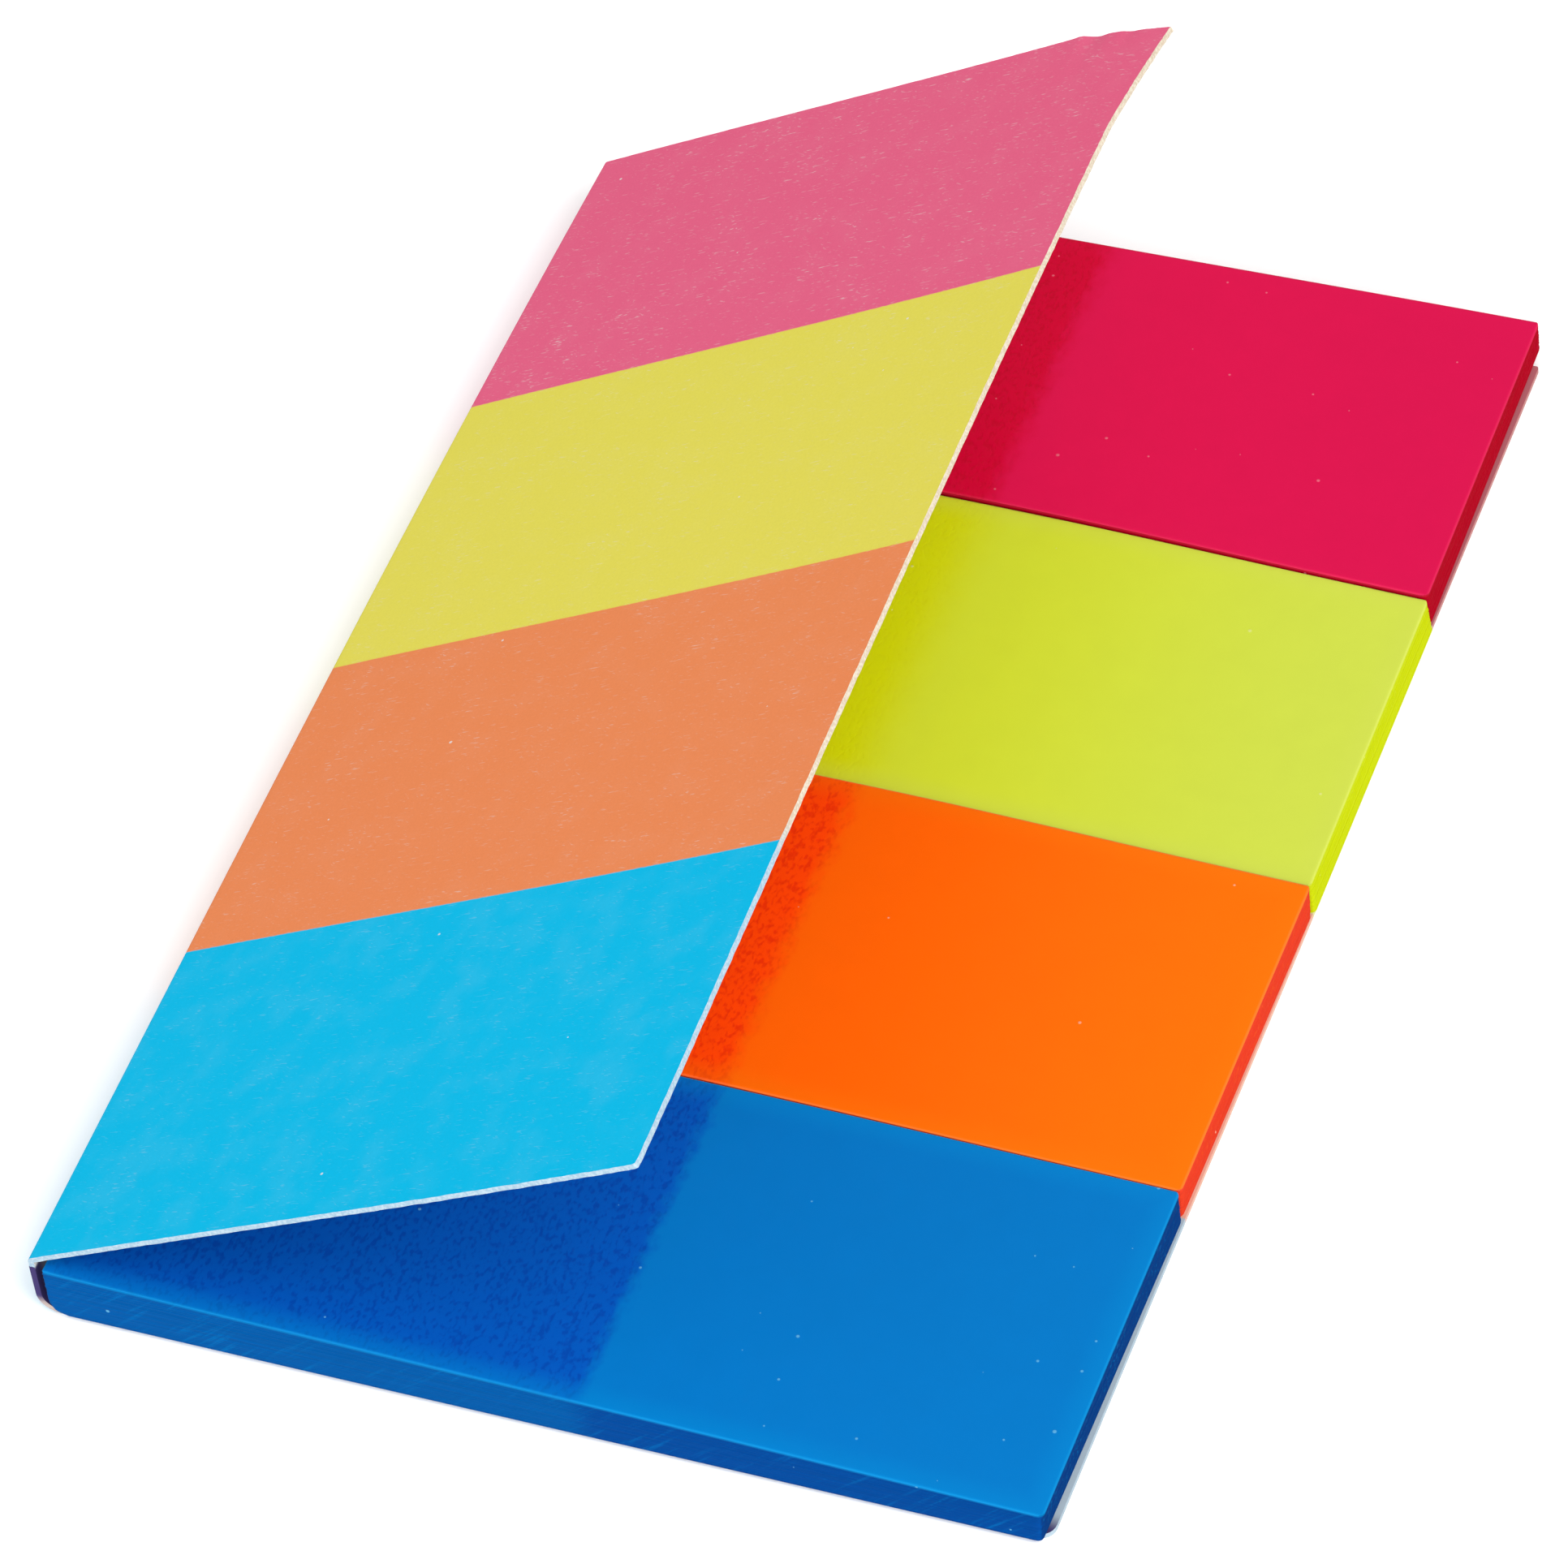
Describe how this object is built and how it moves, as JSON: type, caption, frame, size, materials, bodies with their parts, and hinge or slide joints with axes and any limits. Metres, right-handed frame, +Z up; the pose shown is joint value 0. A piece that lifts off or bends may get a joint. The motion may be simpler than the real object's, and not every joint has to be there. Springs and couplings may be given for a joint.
{
  "type": "sticky index tab booklet",
  "caption": "Pads of coloured film index tabs held side by side in a folded card, with a printed card cover hinged along the spine.",
  "frame": {"origin": "under the middle of the booklet, on the surface that it lies on", "axes": "+X from the spine to the free ends of the tabs, +Y along the spine from the blue pad to the magenta pad, +Z up"},
  "size_m": [0.0512, 0.0798, 0.022],
  "materials": {
    "card": "matte",
    "printed_card": "matte",
    "blue_film": "satin",
    "orange_film": "satin",
    "yellow_film": "satin",
    "magenta_film": "satin"
  },
  "bodies": {
    "back": {"back_card": "card", "blue_tab_pad": "blue_film", "orange_tab_pad": "orange_film", "yellow_tab_pad": "yellow_film", "magenta_tab_pad": "magenta_film"},
    "cover": {"front_cover": "printed_card"}
  },
  "joints": [
    {"name": "cover_fold", "type": "hinge", "parent": "back", "child": "cover", "pos_m": [-0.02545, 0, 0.00358], "axis": [0, -1, 0], "range_deg": [-28, 150]}
  ]
}
